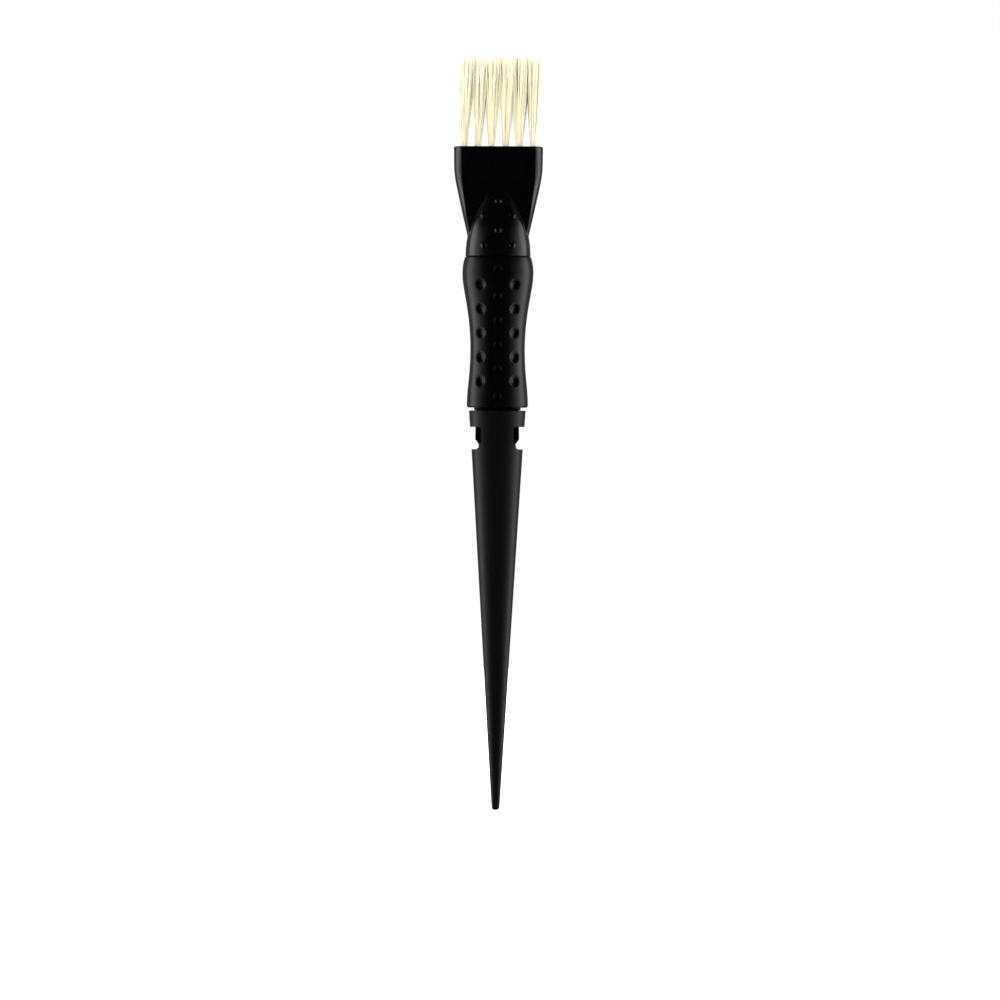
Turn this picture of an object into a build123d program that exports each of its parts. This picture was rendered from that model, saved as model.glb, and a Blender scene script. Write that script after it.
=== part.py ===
"""Tint brush for hair colour: a flat bristle head on a round soft grip, with a pointed tail handle.

Frame: millimetres. The origin is on the long axis at the waist of the grip sleeve, +Z runs towards
the bristle tips, and the broad faces of the head look along -Y (front) and +Y (back).

Pieces: a moulded head with its stem and flat tongue, tufts of folded filament held by flat wire
anchors, a dimpled soft sleeve keyed to the stem, and a tail handle that plugs onto the tongue.
"""
from build123d import *
from math import cos, radians, sin, sqrt, tan
import os

# ---------------------------------------------------------------- driving dimensions, mm
# levels along the long axis
BRISTLE_TIP_Z = 86.5
HEAD_TOP_Z = 58.5
CAP_BOTTOM_Z = 26.7
SLEEVE_TOP_Z = 26.65
SLEEVE_BOTTOM_Z = -17.0
STEM_BOTTOM_Z = -17.8
TAIL_TOP_Z = -17.9
TAIL_TIP_Z = -133.5

# flat head: straight-sided at the top, then narrowing to the neck
HEAD_HALF_WIDTH = 12.93
NECK_Z = 32.7
NECK_HALF_WIDTH = 8.92
NECK_FLARE = 0.2265          # half width gained per mm above the neck
SHOULDER_SOFTNESS = 0.53     # how gently the straight sides turn into the flare
SLAB_BOTTOM_Z = 29.5
TOP_HALF_THICKNESS = 4.5
FACE_TAPER = 0.0615          # half thickness lost per mm below the top
FACE_ALLOWANCE = 0.3         # cut off again when the two faces are made flat
TOP_SIDE_BULGE = 2.2         # how far the bowed sides stand past the flat faces
NECK_SIDE_BULGE = 0.55
SIDE_BULGE_GROWTH = 0.085
SIDE_EDGE_ROUNDING = 0.5
TOP_EDGE_ROUNDING = 0.4

# pointed cap that grows out of the head, and the nubs on it
CAP_RADIUS = 9.42
CAP_ARC = 30.7               # radius of the curve from the upright rim into the cone
CAP_CONE_ANGLE = radians(20.2)
CAP_NOSE_Z = 52.0
CAP_RIM_ROUNDING = 0.25
ARCH_FILLET = 0.4
NUB_RADIUS = 1.1
NUB_SINK = 0.3
NUB_SIDE_X = 4.14
NUB_PITCH_Z = 4.3
LOWEST_NUB_Z = 29.8

# stem under the sleeve, with a shoulder that keeps the sleeve on, and the flat tongue below it
STEM_RADIUS = 6.0
SHOULDER_RADIUS = 6.75
SHOULDER_HEIGHT = 1.8
SHOULDER_FOOT_RADIUS = 6.35
SHOULDER_TAPER_HEIGHT = 0.9   # the foot of the shoulder is tapered, to lead the sleeve on
KEY_WIDTH = 1.6
KEY_HEIGHT = 0.7
TONGUE_BOTTOM_Z = -27.6
TONGUE_CHAMFER_Z = -26.2
TONGUE_ROOT_HALF_WIDTH = 6.2
TONGUE_END_HALF_WIDTH = 6.36
TONGUE_TIP_HALF_WIDTH = 5.35
TONGUE_HALF_THICKNESS = 2.8
TONGUE_EDGE = 0.3
PLUG_CLEARANCE = 0.1

# tufts, in aligned rows, each folded round a flat wire anchor at the foot of its hole
TUFT_COLUMNS = 6
TUFT_ROWS = 3
TUFT_PITCH_X = 4.0
TUFT_PITCH_Y = 2.65
HOLE_RADIUS = 0.95
HOLE_DEPTH = 6.0
TUFT_SLACK = 0.03
TUFT_BLOOM_Z = 70.0          # where the tufts have opened out far enough to meet
TUFT_HALF_X = 1.97
TUFT_HALF_Y = 1.38
BLOOM_SHARE = 0.94           # how much of its full size a tuft has at the bloom
TIP_FAN_X = 1.02             # how far the rows of tips fan out, times the pitch
TIP_FAN_Y = 1.08
ANCHOR_THICKNESS = 0.35
ANCHOR_WIDTH = 1.7
ANCHOR_HEIGHT = 2.0
ANCHOR_LIFT = 0.4
ANCHOR_SLACK = 0.02

# soft sleeve
SLEEVE_SLACK = 0.03
SLEEVE_TOP_RADIUS = 9.4
SLEEVE_BOTTOM_RADIUS = 8.55
SLEEVE_OUTLINE = (           # (radius, z) from the seam down over the bulge and the waist
    (9.65, 26.25),
    (10.28, 21.6),
    (9.38, 14.8),
    (8.33, 7.8),
    (7.88, 0.0),
    (8.24, -7.9),
    (8.84, -15.8),
    (8.84, -16.6),
)
DIMPLE_PITCH_Z = 6.95
DIMPLE_SIDE_X = 5.0
TOP_SIDE_DIMPLE_Z = 18.35
SIDE_DIMPLES = 5
END_DIMPLE_SHIFT = 1.1       # how far the first and last middle dimples stand off the even pitch
DIMPLE_SPHERE = 1.75
DIMPLE_DEPTH = 0.78
DIMPLE_LIP = 1.3             # wide, soft rounding round each dimple

# tail handle: a round cone with two side windows below its collar
COLLAR_RADIUS = 8.22
TAIL_SHOULDER_RADIUS = 7.42
TAIL_TIP_RADIUS = 1.12
TIP_ROUNDING = 0.9
COLLAR_ROUNDING = 0.2
WINDOW_TOP_Z = -22.6
WINDOW_BOTTOM_Z = -29.1
WINDOW_INNER_X = 4.72
WINDOW_FILLET = 0.9
NECK_INNER_X = 5.38
NECK_TOP_Z = -27.4           # the neck's front and back walls lap over the end of the tongue
SOCKET_FLOOR_Z = -27.75
CORE_TOP_RADIUS = 2.6
CORE_END_RADIUS = 1.1
CORE_DEPTH = 62.0
REACH = 30.0                 # longer than anything it cuts

FACES = (-1, 1)              # front and back
UPRIGHT = (Align.CENTER, Align.CENTER, Align.MIN)


def upright_box(width, depth, height, z):
    return Pos(0, 0, z) * Box(width, depth, height, align=UPRIGHT)


def upright_cylinder(radius, height, x, y, z):
    return Pos(x, y, z) * Cylinder(radius, height, align=UPRIGHT)


def surface_point(body, x, z, face):
    """Point and outward normal where a line along Y leaves the body on one face."""
    return body.find_intersection_points(Axis((x, 0, z), (0, face, 0)))[-1]


# ---------------------------------------------------------------- head
def head_half_width(z):
    """Half width of the flat head: the straight side and the flare, softly joined."""
    flare = NECK_HALF_WIDTH + NECK_FLARE * (z - NECK_Z)
    difference = HEAD_HALF_WIDTH - flare
    return (HEAD_HALF_WIDTH + flare - sqrt(difference**2 + SHOULDER_SOFTNESS**2)) / 2


def head_half_thickness(z):
    return TOP_HALF_THICKNESS - FACE_TAPER * (HEAD_TOP_Z - z)


def head_section(z):
    """Outline of the head at one level, a little too thick: its bowed sides run past the faces."""
    side = head_half_width(z)
    bulge = min(TOP_SIDE_BULGE, NECK_SIDE_BULGE + SIDE_BULGE_GROWTH * (z - NECK_Z))
    thickness = head_half_thickness(z)
    bow = (thickness**2 + bulge**2) / (2 * bulge)
    half = thickness + FACE_ALLOWANCE
    edge = side - bow + sqrt(bow**2 - half**2)
    with BuildSketch(Plane.XY.offset(z)) as section:
        with BuildLine():
            Line((-edge, -half), (edge, -half))
            ThreePointArc((edge, -half), (side, 0), (edge, half))
            Line((edge, half), (-edge, half))
            ThreePointArc((-edge, half), (-side, 0), (-edge, -half))
        make_face()
    return section.sketch


def face_wedge():
    """Block between the two flat faces, which close in towards the neck."""
    top = head_half_thickness(HEAD_TOP_Z)
    bottom = head_half_thickness(SLAB_BOTTOM_Z)
    corners = [(-bottom, SLAB_BOTTOM_Z), (bottom, SLAB_BOTTOM_Z), (top, HEAD_TOP_Z), (-top, HEAD_TOP_Z)]
    outline = make_face(Plane.YZ * Polyline(*corners, close=True))
    return extrude(outline, amount=REACH, both=True)


def flat_slab():
    """The flat head, with its long edges and its top edge rounded."""
    levels = (SLAB_BOTTOM_Z, NECK_Z, 36.0, 41.0, 46.5, 49.0, 51.5, 54.0, 56.5, HEAD_TOP_Z)
    slab = loft([head_section(z) for z in levels]) & face_wedge()
    long_edges = [edge for edge in slab.edges() if edge.bounding_box().size.Z > REACH / 2]
    slab = fillet(long_edges, SIDE_EDGE_ROUNDING)
    return fillet(slab.edges().group_by(Axis.Z)[-1], TOP_EDGE_ROUNDING)


def pointed_cap():
    """Body of revolution: an upright rim that curves into a cone, closed inside the head."""
    end_radius = CAP_RADIUS - CAP_ARC * (1 - cos(CAP_CONE_ANGLE))
    end_z = CAP_BOTTOM_Z + CAP_ARC * sin(CAP_CONE_ANGLE)
    nose_radius = end_radius - (CAP_NOSE_Z - end_z) * tan(CAP_CONE_ANGLE)
    with BuildPart() as cap:
        with BuildSketch(Plane.XZ):
            with BuildLine():
                Line((0, CAP_BOTTOM_Z), (CAP_RADIUS, CAP_BOTTOM_Z))
                RadiusArc((CAP_RADIUS, CAP_BOTTOM_Z), (end_radius, end_z), -CAP_ARC)
                Line((end_radius, end_z), (nose_radius, CAP_NOSE_Z))
                Line((nose_radius, CAP_NOSE_Z), (0, CAP_NOSE_Z))
                Line((0, CAP_NOSE_Z), (0, CAP_BOTTOM_Z))
            make_face()
        revolve(axis=Axis.Z)
    return fillet(cap.part.edges().group_by(Axis.Z)[0], CAP_RIM_ROUNDING)


def nub_places():
    """(x, z) of the nubs on one face: going up, a pair and then one in the middle, in turn."""
    places = []
    for step in range(4):
        z = LOWEST_NUB_Z + step * NUB_PITCH_Z
        places += [(0, z)] if step % 2 else [(-NUB_SIDE_X, z), (NUB_SIDE_X, z)]
    return places


def nubs(cap):
    """Round nubs, sunk a little into the cap, on its front and its back."""
    made = []
    for x, z in nub_places():
        for face in FACES:
            point, normal = surface_point(cap, x, z, face)
            made.append(Pos(point - normal * NUB_SINK) * Sphere(NUB_RADIUS))
    return made


def stem():
    """Round stem under the sleeve, with two keys that stop the sleeve turning and a shoulder."""
    keys = upright_box(
        2 * (STEM_RADIUS + KEY_HEIGHT), KEY_WIDTH, CAP_BOTTOM_Z - STEM_BOTTOM_Z, STEM_BOTTOM_Z
    )
    core = upright_cylinder(STEM_RADIUS, CAP_BOTTOM_Z - STEM_BOTTOM_Z, 0, 0, STEM_BOTTOM_Z)
    lead_in = Cone(SHOULDER_FOOT_RADIUS, SHOULDER_RADIUS, SHOULDER_TAPER_HEIGHT, align=UPRIGHT)
    taper_top = STEM_BOTTOM_Z + SHOULDER_TAPER_HEIGHT
    band = upright_cylinder(SHOULDER_RADIUS, SHOULDER_HEIGHT - SHOULDER_TAPER_HEIGHT, 0, 0, taper_top)
    return core + keys + Pos(0, 0, STEM_BOTTOM_Z) * lead_in + band


def tongue():
    """Flat tongue below the stem: it widens slightly downwards and ends in a chamfer."""
    right = [
        (TONGUE_ROOT_HALF_WIDTH, STEM_BOTTOM_Z + SHOULDER_HEIGHT / 2),
        (TONGUE_END_HALF_WIDTH, TONGUE_CHAMFER_Z),
        (TONGUE_TIP_HALF_WIDTH, TONGUE_BOTTOM_Z),
    ]
    left = [(-x, z) for x, z in reversed(right)]
    outline = make_face(Plane.XZ * Polyline(*right, *left, close=True))
    blade = extrude(outline, amount=TONGUE_HALF_THICKNESS, both=True)
    broad_faces = blade.faces().sort_by(Axis.Y)
    edges = broad_faces[0].edges() + broad_faces[-1].edges()
    return fillet(edges.filter_by(lambda edge: edge.center().Z < STEM_BOTTOM_Z), TONGUE_EDGE)


def tuft_bases():
    """(row, column, x, y) of each tuft at the top face of the head."""
    return [
        (
            row + 1,
            column + 1,
            (column - (TUFT_COLUMNS - 1) / 2) * TUFT_PITCH_X,
            (row - (TUFT_ROWS - 1) / 2) * TUFT_PITCH_Y,
        )
        for row in range(TUFT_ROWS)
        for column in range(TUFT_COLUMNS)
    ]


def is_arch(edge):
    """True for the edge where the cap rises out of a flat face."""
    middle = edge.center()
    inside_slab_edges = abs(middle.X) < NECK_HALF_WIDTH - 1
    on_face = abs(abs(middle.Y) - head_half_thickness(middle.Z)) < 0.01
    return inside_slab_edges and on_face and NECK_Z < middle.Z < CAP_NOSE_Z


def brush_head():
    cap = pointed_cap()
    body = flat_slab() + cap
    body = fillet(body.edges().filter_by(is_arch), ARCH_FILLET)
    foot = HEAD_TOP_Z - HOLE_DEPTH
    holes = [
        upright_cylinder(HOLE_RADIUS, HOLE_DEPTH + 1, x, y, foot) for _, _, x, y in tuft_bases()
    ]
    return body + nubs(cap) + stem() + tongue() - holes


# ---------------------------------------------------------------- tufts and anchors
def anchor(x, y, slack=0.0):
    """Flat wire across the hole, just above the fold of the tuft."""
    foot = HEAD_TOP_Z - HOLE_DEPTH + ANCHOR_LIFT
    wire = upright_box(
        ANCHOR_WIDTH + 2 * slack,
        ANCHOR_THICKNESS + 2 * slack,
        ANCHOR_HEIGHT + 2 * slack,
        foot - slack,
    )
    return Pos(x, y, 0) * wire


def oval(x, y, z, half_x, half_y):
    with BuildSketch(Plane((x, y, z))) as section:
        Ellipse(half_x, half_y)
    return section.sketch


def tuft(x, y):
    """One bundle: round in its hole, then opening out until it meets its neighbours."""
    root = HOLE_RADIUS - TUFT_SLACK
    foot = HEAD_TOP_Z - HOLE_DEPTH + TUFT_SLACK
    in_hole = upright_cylinder(root, HEAD_TOP_Z - foot, x, y, foot)
    rise = (TUFT_BLOOM_Z - HEAD_TOP_Z) / (BRISTLE_TIP_Z - HEAD_TOP_Z)
    bloom_x = x * (1 + (TIP_FAN_X - 1) * rise)
    bloom_y = y * (1 + (TIP_FAN_Y - 1) * rise)
    bloom = oval(bloom_x, bloom_y, TUFT_BLOOM_Z, BLOOM_SHARE * TUFT_HALF_X, BLOOM_SHARE * TUFT_HALF_Y)
    tips = oval(x * TIP_FAN_X, y * TIP_FAN_Y, BRISTLE_TIP_Z, TUFT_HALF_X, TUFT_HALF_Y)
    free = loft([oval(x, y, HEAD_TOP_Z, root, root), bloom, tips], ruled=True)
    return in_hole + free - anchor(x, y, ANCHOR_SLACK)


# ---------------------------------------------------------------- sleeve
def sleeve_body():
    """Round sleeve with a bulge, a waist and a flare, closed at both ends."""
    with BuildPart() as body:
        with BuildSketch(Plane.XZ):
            with BuildLine():
                Line((0, SLEEVE_TOP_Z), (SLEEVE_TOP_RADIUS, SLEEVE_TOP_Z))
                Line((SLEEVE_TOP_RADIUS, SLEEVE_TOP_Z), SLEEVE_OUTLINE[0])
                Spline(*SLEEVE_OUTLINE)
                Line(SLEEVE_OUTLINE[-1], (SLEEVE_BOTTOM_RADIUS, SLEEVE_BOTTOM_Z))
                Line((SLEEVE_BOTTOM_RADIUS, SLEEVE_BOTTOM_Z), (0, SLEEVE_BOTTOM_Z))
                Line((0, SLEEVE_BOTTOM_Z), (0, SLEEVE_TOP_Z))
            make_face()
        revolve(axis=Axis.Z)
    return body.part


def dimple_places():
    """(x, z) of the dimples on one face: two side columns, and a middle one stepped between them."""
    side_levels = [TOP_SIDE_DIMPLE_Z - step * DIMPLE_PITCH_Z for step in range(SIDE_DIMPLES)]
    sides = [(x, z) for z in side_levels for x in (-DIMPLE_SIDE_X, DIMPLE_SIDE_X)]
    between = [(0, z - DIMPLE_PITCH_Z / 2) for z in side_levels[:-1]]
    end_step = DIMPLE_PITCH_Z / 2 + END_DIMPLE_SHIFT
    ends = [(0, side_levels[0] + end_step), (0, side_levels[-1] - end_step)]
    return sides + between + ends


def dimples(body):
    """Round cutters for the dimples, square to the surface, on the front and the back."""
    made = []
    for x, z in dimple_places():
        for face in FACES:
            point, normal = surface_point(body, x, z, face)
            made.append(Pos(point + normal * (DIMPLE_SPHERE - DIMPLE_DEPTH)) * Sphere(DIMPLE_SPHERE))
    return made


def is_dimple_rim(edge):
    """True for the closed edge round one dimple."""
    size = edge.bounding_box().size
    return max(size.X, size.Y) < 2 * DIMPLE_SPHERE and size.Z < 2 * DIMPLE_SPHERE and edge.is_closed


def grip_sleeve():
    body = sleeve_body()
    body = body - dimples(body)
    body = fillet(body.edges().filter_by(is_dimple_rim), DIMPLE_LIP)
    bore = upright_cylinder(STEM_RADIUS + SLEEVE_SLACK, 2 * REACH, 0, 0, -REACH)
    shoulder_top = STEM_BOTTOM_Z + SHOULDER_HEIGHT + SLEEVE_SLACK
    seat = upright_cylinder(SHOULDER_RADIUS + SLEEVE_SLACK, REACH, 0, 0, shoulder_top - REACH)
    key_ways = upright_box(
        2 * (STEM_RADIUS + KEY_HEIGHT + SLEEVE_SLACK), KEY_WIDTH + 2 * SLEEVE_SLACK, 2 * REACH, -REACH
    )
    return body - [bore, seat, key_ways]


# ---------------------------------------------------------------- tail handle
def tail_cone():
    """Round cone with a domed tip and slightly broken edges at the collar."""
    with BuildPart() as cone:
        with BuildSketch(Plane.XZ):
            with BuildLine():
                Polyline(
                    (0, TAIL_TIP_Z),
                    (0, TAIL_TOP_Z),
                    (COLLAR_RADIUS, TAIL_TOP_Z),
                    (TAIL_SHOULDER_RADIUS, WINDOW_BOTTOM_Z),
                    (TAIL_TIP_RADIUS, TAIL_TIP_Z),
                    close=True,
                )
            make_face()
        revolve(axis=Axis.Z)
    cone = fillet(cone.part.edges().group_by(Axis.Z)[0], TIP_ROUNDING)
    return fillet(cone.edges().group_by(Axis.Z)[-1], COLLAR_ROUNDING)


def window(side):
    """Cutter for one side window: filleted at the collar, and round the neck below the tongue."""
    neck_corner = NECK_INNER_X + WINDOW_FILLET
    top_corner = WINDOW_INNER_X + WINDOW_FILLET
    neck_top = WINDOW_BOTTOM_Z + WINDOW_FILLET
    with BuildPart() as cutter:
        with BuildSketch(Plane.XZ):
            with BuildLine():
                Polyline(
                    (neck_corner, WINDOW_BOTTOM_Z),
                    (REACH, WINDOW_BOTTOM_Z),
                    (REACH, WINDOW_TOP_Z),
                    (top_corner, WINDOW_TOP_Z),
                )
                RadiusArc(
                    (top_corner, WINDOW_TOP_Z),
                    (WINDOW_INNER_X, WINDOW_TOP_Z - WINDOW_FILLET),
                    -WINDOW_FILLET,
                )
                Polyline(
                    (WINDOW_INNER_X, WINDOW_TOP_Z - WINDOW_FILLET),
                    (WINDOW_INNER_X, NECK_TOP_Z),
                    (NECK_INNER_X, NECK_TOP_Z),
                    (NECK_INNER_X, neck_top),
                )
                RadiusArc((NECK_INNER_X, neck_top), (neck_corner, WINDOW_BOTTOM_Z), -WINDOW_FILLET)
            make_face()
        extrude(amount=REACH, both=True)
    return cutter.part if side > 0 else mirror(cutter.part, about=Plane.YZ)


def tail_handle():
    socket = upright_box(
        2 * (TONGUE_END_HALF_WIDTH + PLUG_CLEARANCE),
        2 * (TONGUE_HALF_THICKNESS + PLUG_CLEARANCE),
        REACH,
        SOCKET_FLOOR_Z,
    )
    core = Pos(0, 0, SOCKET_FLOOR_Z - CORE_DEPTH) * Cone(
        CORE_END_RADIUS, CORE_TOP_RADIUS, CORE_DEPTH, align=UPRIGHT
    )
    return tail_cone() - [socket, core, window(-1), window(1)]


# ---------------------------------------------------------------- write the pieces
def write(name, shape):
    shape.label = name
    export_step(shape, os.path.join("parts", name + ".step"))


os.makedirs("parts", exist_ok=True)
write("brush_head", brush_head())
write("grip_sleeve", grip_sleeve())
write("tail_handle", tail_handle())
write("tuft_anchors", Compound([anchor(x, y) for _, _, x, y in tuft_bases()]))
for row, column, x, y in tuft_bases():
    write(f"tuft_row{row}_{column}", tuft(x, y))
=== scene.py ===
"""Tint brush: procedural plastics and rubber, and tufts of real filaments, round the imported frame."""
import math
import random

import bpy
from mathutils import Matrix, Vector


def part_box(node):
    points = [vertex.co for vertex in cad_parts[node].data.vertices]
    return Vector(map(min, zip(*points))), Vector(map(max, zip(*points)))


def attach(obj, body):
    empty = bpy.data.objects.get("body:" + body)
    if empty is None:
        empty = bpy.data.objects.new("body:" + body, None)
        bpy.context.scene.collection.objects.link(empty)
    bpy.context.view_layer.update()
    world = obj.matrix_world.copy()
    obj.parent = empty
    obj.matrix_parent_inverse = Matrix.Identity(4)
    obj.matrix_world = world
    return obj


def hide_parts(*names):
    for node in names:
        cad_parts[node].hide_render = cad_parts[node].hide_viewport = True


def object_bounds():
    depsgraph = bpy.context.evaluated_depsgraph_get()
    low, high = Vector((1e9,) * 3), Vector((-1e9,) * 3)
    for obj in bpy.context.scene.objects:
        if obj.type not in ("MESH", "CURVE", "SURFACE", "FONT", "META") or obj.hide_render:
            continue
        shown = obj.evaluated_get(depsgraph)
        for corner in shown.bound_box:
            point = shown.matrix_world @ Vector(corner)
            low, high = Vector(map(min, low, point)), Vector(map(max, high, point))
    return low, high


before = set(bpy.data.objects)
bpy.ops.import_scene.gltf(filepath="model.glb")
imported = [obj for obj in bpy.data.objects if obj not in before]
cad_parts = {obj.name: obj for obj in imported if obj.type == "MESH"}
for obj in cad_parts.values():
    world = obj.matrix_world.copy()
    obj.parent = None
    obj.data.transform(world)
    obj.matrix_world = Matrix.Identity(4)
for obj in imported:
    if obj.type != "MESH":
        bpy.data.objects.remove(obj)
CAD_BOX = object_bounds()

# ---------------------------------------------------------------- driving values, metres
GRIP_BODY = "grip"
HEAD_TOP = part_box("brush_head")[1].z
BRISTLE_TOP = CAD_BOX[1].z
BRUSH_LENGTH = CAD_BOX[1].z - CAD_BOX[0].z

# framing: shares are of the picture's height
LENGTH_SHARE = 0.76
SHARE_BELOW_TIP = 0.19
SIDEWAYS_SHARE = 0.0031
CAMERA_ROLL = math.radians(-0.26)
LENS_MM = 300.0
SENSOR_MM = 36.0

# tufts: every strand is folded in two under its anchor, so it gives two bristles
TUFT_ROWS = 3
TUFT_COLUMNS = 6
ANCHOR_LOW, ANCHOR_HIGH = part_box("tuft_anchors")
ANCHOR_HALF_WIDTH = 0.00085
ANCHOR_HALF_THICKNESS = 0.000175
FOLD_DROP = 0.00015          # how far under its anchor a strand turns round
TUFT_RADIUS = 0.00086
STRANDS_PER_TUFT = 84
STRAND_RADIUS = 0.00007
RING_SIDES = 5
PATH_STEPS = 7
LOCKS_PER_TUFT = 7
ANGLE_SHAKE = 0.25           # radians off the even spacing in a tuft
TONE_MEAN, TONE_SCATTER = 0.5, 0.25
SPREAD_SLOPE = 0.060         # how much a bristle at the rim of its tuft leans out
END_SPREAD_SLOPE = 0.034     # the same on the -X side of the first column, which has stayed upright
STRAND_SCATTER = 0.009       # slopes
LOCK_SCATTER = 0.009
FIELD_LEAN = 0.025           # the slight set that use has given all the bristles, towards +X
BOW = 0.00022
LOCK_SHORTFALL = 0.0012      # how much shorter than the longest a whole lock may be
STRAND_SHORTFALL = 0.0022
SHORTFALL_POWER = 1.5        # above 1, most bristles are near full length
FEATHER_LENGTH = 0.005       # length over which a bristle tapers to its tip
TIP_SHARE = 0.45             # radius of the tip, as a share of the strand's

# light: two tall softboxes a little behind the brush, in a tent that is dark in front
SOFTBOX_DISTANCE = 0.45
SOFTBOX_AZIMUTH = math.radians(105)
SOFTBOX_WIDTH = 0.24
SOFTBOX_HEIGHT = 0.45
SOFTBOX_RADIANCE = 1.1
TENT_SIDES = (               # (how far back the direction points, from 0 to 1; brightness)
    (0.0, 0.0),
    (0.15, 0.012),
    (0.25, 0.20),
    (0.33, 0.48),
    (0.42, 0.95),
    (0.74, 0.85),
    (0.78, 0.10),
    (1.0, 0.0),
)
TENT_LEVELS = (              # (how high the direction points, from 0 to 1; share of the brightness)
    (0.06, 0.0),
    (0.20, 1.0),
    (0.62, 1.0),
    (0.75, 0.0),
)
TENT_BACK = 0.18             # brightness straight behind the brush
TENT_EDGE = (0.3, 0.7)       # the sides fade in between these shares of sideways direction
AMBIENT = 2.2                # even light on what isn't mirror-like
FLOOR_GAP = 0.02
FLOOR_RADIUS = 3.0
FLOOR_SIDES = 96


# ---------------------------------------------------------------- node helpers
def new_material(name):
    material = bpy.data.materials.new(name)
    material.use_nodes = True
    nodes = material.node_tree.nodes
    return material, nodes, material.node_tree.links, nodes["Principled BSDF"]


def add(nodes, kind, **values):
    """A node with its properties and inputs set by name."""
    node = nodes.new(kind)
    for name, value in values.items():
        if hasattr(node, name):
            setattr(node, name, value)
        else:
            node.inputs[name.replace("_", " ").title()].default_value = value
    return node


def object_noise(nodes, links, scale, detail=4.0, roughness=0.5):
    """Noise in the object's own coordinates. The scale is in cells per metre."""
    place = nodes.new("ShaderNodeTexCoord")
    noise = add(nodes, "ShaderNodeTexNoise", scale=scale, detail=detail, roughness=roughness)
    links.new(place.outputs["Object"], noise.inputs["Vector"])
    return noise.outputs["Fac"]


def remap(nodes, links, value, low, high, start=0.3, end=0.7):
    """The value, clamped between start and end, spread from low to high."""
    ranged = nodes.new("ShaderNodeMapRange")
    for name, number in (("From Min", start), ("From Max", end), ("To Min", low), ("To Max", high)):
        ranged.inputs[name].default_value = number
    links.new(value, ranged.inputs["Value"])
    return ranged.outputs["Result"]


def colour_between(nodes, links, factor, dark, light):
    mix = add(nodes, "ShaderNodeMix", data_type="RGBA")
    mix.inputs["A"].default_value = (*dark, 1)
    mix.inputs["B"].default_value = (*light, 1)
    links.new(factor, mix.inputs["Factor"])
    return mix.outputs["Result"]


def bump_from(nodes, links, height, distance, strength=1.0, under=None):
    bump = nodes.new("ShaderNodeBump")
    bump.inputs["Strength"].default_value = strength
    bump.inputs["Distance"].default_value = distance
    links.new(height, bump.inputs["Height"])
    if under is not None:
        links.new(under, bump.inputs["Normal"])
    return bump.outputs["Normal"]


def parting_line(nodes, links, under):
    """A faint raised line down both sides, where the two halves of the mould met."""
    place = nodes.new("ShaderNodeTexCoord")
    split = nodes.new("ShaderNodeSeparateXYZ")
    links.new(place.outputs["Object"], split.inputs["Vector"])
    away = add(nodes, "ShaderNodeMath", operation="ABSOLUTE")
    links.new(split.outputs["Y"], away.inputs[0])
    ridge = remap(nodes, links, away.outputs["Value"], 1.0, 0.0, 0.00003, 0.00010)
    return bump_from(nodes, links, ridge, 0.00004, 0.6, under)


# ---------------------------------------------------------------- materials
def moulded_gloss():
    """Semi-gloss black moulding: a slight orange peel and faint smears from handling."""
    material, nodes, links, shader = new_material("head_plastic")
    smears = object_noise(nodes, links, 160, detail=3)
    peel = object_noise(nodes, links, 1400, detail=2)
    dark, light = (0.0004, 0.0004, 0.00045), (0.0008, 0.0008, 0.0009)
    tone = colour_between(nodes, links, smears, dark, light)
    links.new(tone, shader.inputs["Base Color"])
    links.new(remap(nodes, links, smears, 0.19, 0.25), shader.inputs["Roughness"])
    fine = bump_from(nodes, links, peel, 0.00001, 0.3)
    links.new(parting_line(nodes, links, fine), shader.inputs["Normal"])
    shader.inputs["IOR"].default_value = 1.5
    return material


def soft_touch():
    """Satin black rubber: a velvety, very fine pebble and a dull, even shine."""
    material, nodes, links, shader = new_material("grip_rubber")
    pebble = object_noise(nodes, links, 5200, detail=3)
    handling = object_noise(nodes, links, 120, detail=3)
    dark, light = (0.0003, 0.0003, 0.00035), (0.0007, 0.0007, 0.0008)
    tone = colour_between(nodes, links, handling, dark, light)
    links.new(tone, shader.inputs["Base Color"])
    links.new(remap(nodes, links, handling, 0.25, 0.31), shader.inputs["Roughness"])
    fine = bump_from(nodes, links, pebble, 0.00002, 0.3)
    links.new(parting_line(nodes, links, fine), shader.inputs["Normal"])
    shader.inputs["IOR"].default_value = 1.45
    shader.inputs["Specular IOR Level"].default_value = 0.4
    return material


def matt_grain():
    """Matt black moulding with the fine, even grain of a spark-eroded tool."""
    material, nodes, links, shader = new_material("tail_plastic")
    place = nodes.new("ShaderNodeTexCoord")
    cells = add(nodes, "ShaderNodeTexVoronoi", scale=4200)
    links.new(place.outputs["Object"], cells.inputs["Vector"])
    grain = object_noise(nodes, links, 3000, detail=5)
    patches = object_noise(nodes, links, 220, detail=4)
    dark, light = (0.0010, 0.0010, 0.0010), (0.0022, 0.0022, 0.0021)
    tone = colour_between(nodes, links, grain, dark, light)
    links.new(tone, shader.inputs["Base Color"])
    links.new(remap(nodes, links, patches, 0.33, 0.40), shader.inputs["Roughness"])
    fine = bump_from(nodes, links, cells.outputs["Distance"], 0.00003, 0.35)
    rough = bump_from(nodes, links, grain, 0.00005, 0.35, fine)
    links.new(parting_line(nodes, links, rough), shader.inputs["Normal"])
    shader.inputs["IOR"].default_value = 1.49
    shader.inputs["Specular IOR Level"].default_value = 0.26
    return material


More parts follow.
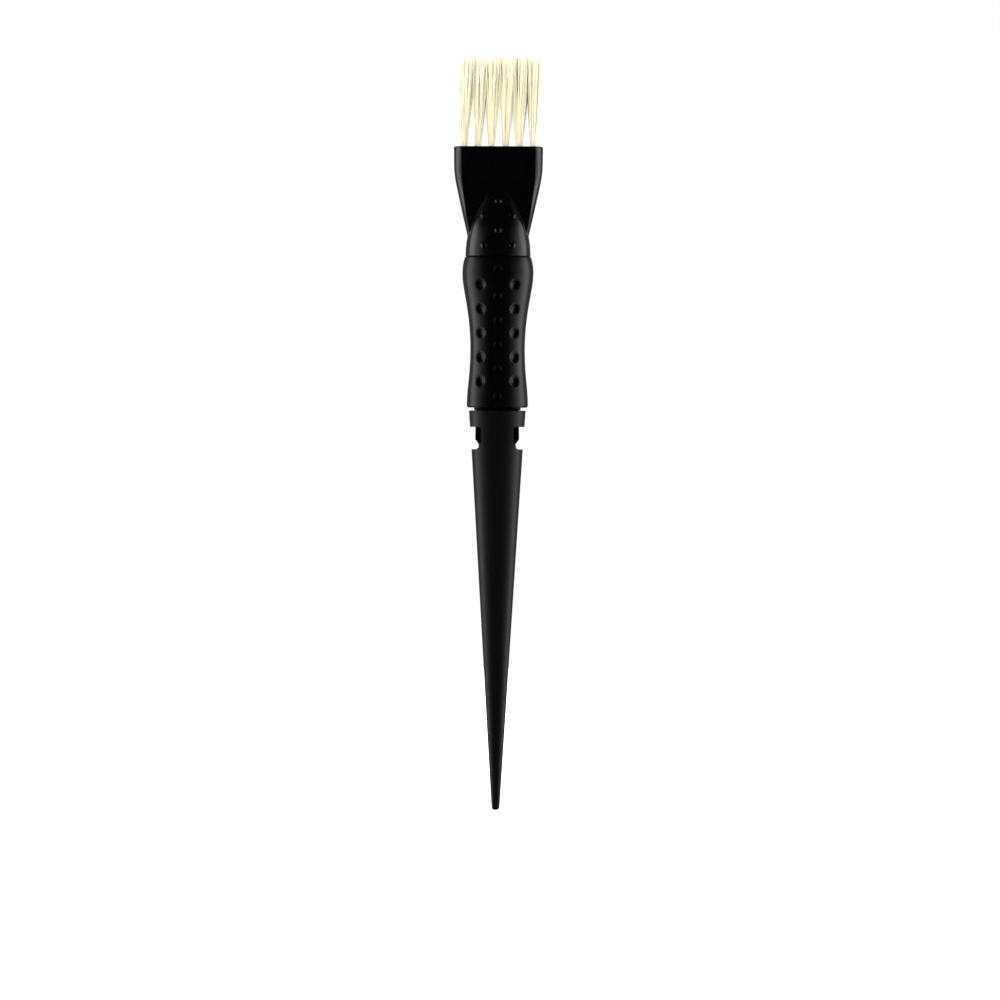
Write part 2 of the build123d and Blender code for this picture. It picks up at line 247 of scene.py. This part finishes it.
def filament():
    """Cream nylon filament: each strand has its own tone, and a painted highlight pales it towards its
    feathered tip.
    """
    material, nodes, links, shader = new_material("bristle")
    own = add(nodes, "ShaderNodeAttribute", attribute_name="strand_tone")
    tips = add(nodes, "ShaderNodeAttribute", attribute_name="strand_height")
    deep, light = (0.94, 0.84, 0.50), (0.98, 0.92, 0.66)
    strand = colour_between(nodes, links, own.outputs["Fac"], deep, light)
    # painted highlight: strands are mixed towards a paler cream near their tips, standing in for the
    # tips washing out in the bright light
    painted_tip_highlight = add(nodes, "ShaderNodeMix", data_type="RGBA")
    links.new(strand, painted_tip_highlight.inputs["A"])
    painted_tip_highlight.inputs["B"].default_value = (0.96, 0.91, 0.72, 1)
    links.new(remap(nodes, links, tips.outputs["Fac"], 0.0, 0.8, 0.6, 1.0), painted_tip_highlight.inputs["Factor"])
    links.new(painted_tip_highlight.outputs["Result"], shader.inputs["Base Color"])
    sheen = object_noise(nodes, links, 900, detail=2)
    links.new(remap(nodes, links, sheen, 0.28, 0.42), shader.inputs["Roughness"])
    shader.inputs["IOR"].default_value = 1.53
    shader.inputs["Subsurface Weight"].default_value = 0.6
    shader.inputs["Subsurface Radius"].default_value = (0.0009, 0.0008, 0.0006)
    shader.inputs["Subsurface Scale"].default_value = 1.0
    return material


def drawn_wire():
    """Flat anchor wire: drawn brass with fine lines along it."""
    material, nodes, links, shader = new_material("anchor_wire")
    place = nodes.new("ShaderNodeTexCoord")
    stretch = nodes.new("ShaderNodeMapping")
    stretch.inputs["Scale"].default_value = (400, 8000, 8000)
    lines = add(nodes, "ShaderNodeTexNoise", scale=1.0, detail=3.0)
    links.new(place.outputs["Object"], stretch.inputs["Vector"])
    links.new(stretch.outputs["Vector"], lines.inputs["Vector"])
    tone = colour_between(nodes, links, lines.outputs["Fac"], (0.62, 0.47, 0.22), (0.85, 0.70, 0.42))
    links.new(tone, shader.inputs["Base Color"])
    links.new(remap(nodes, links, lines.outputs["Fac"], 0.22, 0.42), shader.inputs["Roughness"])
    shader.inputs["Metallic"].default_value = 1.0
    return material


def floor_paint():
    material, nodes, links, shader = new_material("floor")
    speckle = object_noise(nodes, links, 30)
    links.new(
        colour_between(nodes, links, speckle, (0.94, 0.94, 0.94), (0.97, 0.97, 0.97)),
        shader.inputs["Base Color"],
    )
    shader.inputs["Roughness"].default_value = 0.9
    shader.inputs["Specular IOR Level"].default_value = 0.0
    return material


def dress(node, material):
    """Gives a CAD node its finished material."""
    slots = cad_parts[node].data.materials
    slots.clear()
    slots.append(material)


# ---------------------------------------------------------------- bristles
def tuft_centre(row, column):
    """Where a tuft leaves the top of the head: over its anchor."""
    share_x = (column - 1) / (TUFT_COLUMNS - 1)
    share_y = (row - 1) / (TUFT_ROWS - 1)
    first = Vector((ANCHOR_LOW.x + ANCHOR_HALF_WIDTH, ANCHOR_LOW.y + ANCHOR_HALF_THICKNESS))
    last = Vector((ANCHOR_HIGH.x - ANCHOR_HALF_WIDTH, ANCHOR_HIGH.y - ANCHOR_HALF_THICKNESS))
    return Vector((
        first.x + share_x * (last.x - first.x),
        first.y + share_y * (last.y - first.y),
        HEAD_TOP,
    ))


def disc_point(index, count, radius, rng):
    """Even, slightly shaken place on a disc, by the sunflower rule."""
    angle = index * math.pi * (3 - math.sqrt(5)) + rng.uniform(-ANGLE_SHAKE, ANGLE_SHAKE)
    reach = radius * math.sqrt((index + 0.5) / count)
    return reach * math.cos(angle), reach * math.sin(angle)


def make_locks(rng):
    """The locks that a tuft's bristles cling together in: their slopes and how short they are."""
    return [
        (rng.gauss(0, LOCK_SCATTER), rng.gauss(0, LOCK_SCATTER), rng.uniform(0, LOCK_SHORTFALL))
        for _ in range(LOCKS_PER_TUFT)
    ]


def lock_of(x, y):
    """Which lock a bristle belongs to, by the side of the tuft that it stands on."""
    turn = math.atan2(y, x) / (2 * math.pi) + 0.5
    return int(turn * LOCKS_PER_TUFT) % LOCKS_PER_TUFT


def bristle_path(foot, centre, side, lean, length, rng):
    """Points of one bristle from the top of its anchor up to its tip."""
    root = centre + Vector((foot[0], foot[1], 0))
    bow = Vector((rng.gauss(0, BOW), rng.gauss(0, BOW), 0))
    beside_anchor = ANCHOR_HALF_THICKNESS + 2 * STRAND_RADIUS
    start = Vector((root.x, centre.y + side * max(abs(foot[1]), beside_anchor), ANCHOR_HIGH.z))
    points = [start, root]
    for step in range(1, PATH_STEPS + 1):
        share = step / PATH_STEPS
        rise = Vector((lean[0], lean[1], 1)) * share * length
        points.append(root + rise + bow * math.sin(math.pi * share))
    return points


def strand_path(index, centre, locks, left_slope, longest, rng):
    """One strand: up one side of its anchor, and down and round from the other."""
    halves = []
    for side in (1, -1):
        x, y = disc_point(2 * index + (side < 0), 2 * STRANDS_PER_TUFT, TUFT_RADIUS, rng)
        y = side * abs(y)
        lock = locks[lock_of(x, y)]
        spread_x = left_slope if x < 0 else SPREAD_SLOPE
        lean = (
            FIELD_LEAN + spread_x * x / TUFT_RADIUS + lock[0] + rng.gauss(0, STRAND_SCATTER),
            SPREAD_SLOPE * y / TUFT_RADIUS + lock[1] + rng.gauss(0, STRAND_SCATTER),
        )
        length = longest - lock[2] - STRAND_SHORTFALL * rng.random() ** SHORTFALL_POWER
        halves.append(bristle_path((x, y), centre, side, lean, length, rng))
    fold = Vector((halves[0][0].x, centre.y, ANCHOR_LOW.z - FOLD_DROP))
    return halves[0][::-1] + [fold] + halves[1]


def add_tube(points, verts, faces):
    """Adds a closed tube along the points, tapering towards both its ends."""
    travelled = [0.0]
    for a, b in zip(points, points[1:]):
        travelled.append(travelled[-1] + (b - a).length)
    first = len(verts)
    last_ring = first + (len(points) - 1) * RING_SIDES
    for i, point in enumerate(points):
        ahead = (points[min(i + 1, len(points) - 1)] - points[max(i - 1, 0)]).normalized()
        across = (Vector((1, 0, 0)) - ahead * ahead.x).normalized()
        other = ahead.cross(across)
        from_end = min(travelled[i], travelled[-1] - travelled[i])
        taper = TIP_SHARE + (1 - TIP_SHARE) * min(1.0, from_end / FEATHER_LENGTH)
        for k in range(RING_SIDES):
            angle = 2 * math.pi * k / RING_SIDES
            offset = across * math.cos(angle) + other * math.sin(angle)
            verts.append(point + offset * STRAND_RADIUS * taper)
    for ring in range(first, last_ring, RING_SIDES):
        for k in range(RING_SIDES):
            a = ring + k
            b = ring + (k + 1) % RING_SIDES
            faces.append((a, b, b + RING_SIDES, a + RING_SIDES))
    faces.append(tuple(first + k for k in reversed(range(RING_SIDES))))
    faces.append(tuple(last_ring + k for k in range(RING_SIDES)))


def make_tuft(row, column, material):
    """One tuft of folded strands, in place of its plain CAD solid."""
    node = f"tuft_row{row}_{column}"
    rng = random.Random(1000 * row + column)
    locks = make_locks(rng)
    centre = tuft_centre(row, column)
    left_slope = END_SPREAD_SLOPE if column == 1 else SPREAD_SLOPE
    verts, faces, tones = [], [], []
    for index in range(STRANDS_PER_TUFT):
        path = strand_path(index, centre, locks, left_slope, BRISTLE_TOP - HEAD_TOP, rng)
        add_tube(path, verts, faces)
        tone = min(1.0, max(0.0, rng.gauss(TONE_MEAN, TONE_SCATTER)))
        tones += [tone] * (len(verts) - len(tones))
    heights = [max(0.0, (vert.z - HEAD_TOP) / (BRISTLE_TOP - HEAD_TOP)) for vert in verts]
    mesh = bpy.data.meshes.new(node + "_bristles")
    mesh.from_pydata(verts, [], faces)
    for name, values in (("strand_tone", tones), ("strand_height", heights)):
        mesh.attributes.new(name, "FLOAT", "POINT").data.foreach_set("value", values)
    mesh.polygons.foreach_set("use_smooth", [True] * len(mesh.polygons))
    mesh.materials.append(material)
    piece = bpy.data.objects.new(node + "_bristles", mesh)
    bpy.context.scene.collection.objects.link(piece)
    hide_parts(node)
    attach(piece, GRIP_BODY)


bristle = filament()
for row in range(1, TUFT_ROWS + 1):
    for column in range(1, TUFT_COLUMNS + 1):
        make_tuft(row, column, bristle)

dress("brush_head", moulded_gloss())
dress("grip_sleeve", soft_touch())
dress("tail_handle", matt_grain())
dress("tuft_anchors", drawn_wire())


# ---------------------------------------------------------------- stage, lights and camera
def make_floor():
    """Plain white floor, which the glossy black pieces don't mirror."""
    mesh = bpy.data.meshes.new("floor")
    z = CAD_BOX[0].z - FLOOR_GAP
    turns = [2 * math.pi * k / FLOOR_SIDES for k in range(FLOOR_SIDES)]
    ring = [(FLOOR_RADIUS * math.cos(turn), FLOOR_RADIUS * math.sin(turn), z) for turn in turns]
    mesh.from_pydata(ring, [], [tuple(range(FLOOR_SIDES))])
    mesh.materials.append(floor_paint())
    floor = bpy.data.objects.new("floor", mesh)
    floor.visible_glossy = False
    bpy.context.scene.collection.objects.link(floor)


def make_softbox(name, side):
    """Tall, soft light at one side of the brush and a little behind it."""
    light = bpy.data.lights.new(name, "AREA")
    light.shape = "RECTANGLE"
    light.size = SOFTBOX_WIDTH
    light.size_y = SOFTBOX_HEIGHT
    light.energy = SOFTBOX_RADIANCE * math.pi * SOFTBOX_WIDTH * SOFTBOX_HEIGHT
    lamp = bpy.data.objects.new(name, light)
    direction = Vector((side * math.sin(SOFTBOX_AZIMUTH), -math.cos(SOFTBOX_AZIMUTH), 0))
    place = direction * SOFTBOX_DISTANCE
    lamp.location = place
    lamp.rotation_euler = (-place).to_track_quat("-Z", "Y").to_euler()
    bpy.context.scene.collection.objects.link(lamp)


def ramp_of(nodes, links, direction, levels):
    """Brightness looked up by one part of a direction, from -1 to 1, in a table from 0 to 1."""
    ramp = nodes.new("ShaderNodeValToRGB")
    stops = ramp.color_ramp.elements
    while len(stops) < len(levels):
        stops.new(0.5)
    for stop, (position, level) in zip(stops, levels):
        stop.position = position
        stop.color = (level, level, level, 1)
    links.new(remap(nodes, links, direction, 0, 1, -1, 1), ramp.inputs["Fac"])
    return ramp.outputs["Color"]


def tent_brightness(nodes, links):
    """What reflections see: dark in front, bright at the two sides, grey behind."""
    place = nodes.new("ShaderNodeTexCoord")
    split = nodes.new("ShaderNodeSeparateXYZ")
    links.new(place.outputs["Generated"], split.inputs["Vector"])
    back = ramp_of(nodes, links, split.outputs["Y"], TENT_SIDES)
    level = ramp_of(nodes, links, split.outputs["Z"], TENT_LEVELS)
    away = add(nodes, "ShaderNodeMath", operation="ABSOLUTE")
    links.new(split.outputs["X"], away.inputs[0])
    sideways = remap(nodes, links, away.outputs["Value"], 0, 1, *TENT_EDGE)
    facing = add(nodes, "ShaderNodeMath", operation="MULTIPLY")
    links.new(sideways, facing.inputs[0])
    links.new(level, facing.inputs[1])
    sides = add(nodes, "ShaderNodeMath", operation="MULTIPLY")
    links.new(back, sides.inputs[0])
    links.new(facing.outputs["Value"], sides.inputs[1])
    behind = remap(nodes, links, split.outputs["Y"], 0, TENT_BACK, 0, 1)
    total = add(nodes, "ShaderNodeMath", operation="ADD")
    links.new(sides.outputs["Value"], total.inputs[0])
    links.new(behind, total.inputs[1])
    return total.outputs["Value"]


def make_world():
    """White to the camera, bright and even for what it falls on, a tent in reflections.

    It isn't sampled as a lamp, so that each ray meets the part meant for its own kind.
    """
    world = bpy.data.worlds.new("studio")
    bpy.context.scene.world = world
    world.use_nodes = True
    world.cycles.sampling_method = "NONE"
    nodes, links = world.node_tree.nodes, world.node_tree.links
    nodes.clear()
    output = nodes.new("ShaderNodeOutputWorld")
    path = nodes.new("ShaderNodeLightPath")
    seen = add(nodes, "ShaderNodeBackground", strength=1.0)
    falling = add(nodes, "ShaderNodeBackground", strength=AMBIENT)
    mirrored = nodes.new("ShaderNodeBackground")
    for shade in (seen, falling, mirrored):
        shade.inputs["Color"].default_value = (1, 1, 1, 1)
    links.new(tent_brightness(nodes, links), mirrored.inputs["Strength"])
    below = falling
    for ray, above in (("Is Glossy Ray", mirrored), ("Is Camera Ray", seen)):
        mix = nodes.new("ShaderNodeMixShader")
        links.new(path.outputs[ray], mix.inputs["Fac"])
        links.new(below.outputs[0], mix.inputs[1])
        links.new(above.outputs[0], mix.inputs[2])
        below = mix
    links.new(below.outputs[0], output.inputs["Surface"])


def make_camera():
    camera = bpy.data.cameras.new("camera")
    camera.lens = LENS_MM
    camera.sensor_width = SENSOR_MM
    camera.clip_end = 100
    picture_height = BRUSH_LENGTH / LENGTH_SHARE
    distance = picture_height * LENS_MM / SENSOR_MM
    view = bpy.data.objects.new("camera", camera)
    height = CAD_BOX[0].z + (0.5 - SHARE_BELOW_TIP) * picture_height
    view.location = (SIDEWAYS_SHARE * picture_height, -distance, height)
    view.rotation_euler = (math.pi / 2, CAMERA_ROLL, 0)
    bpy.context.scene.collection.objects.link(view)
    bpy.context.scene.camera = view


make_floor()
make_softbox("softbox_left", -1)
make_softbox("softbox_right", 1)
make_world()
make_camera()
bpy.context.scene.view_settings.view_transform = "Standard"
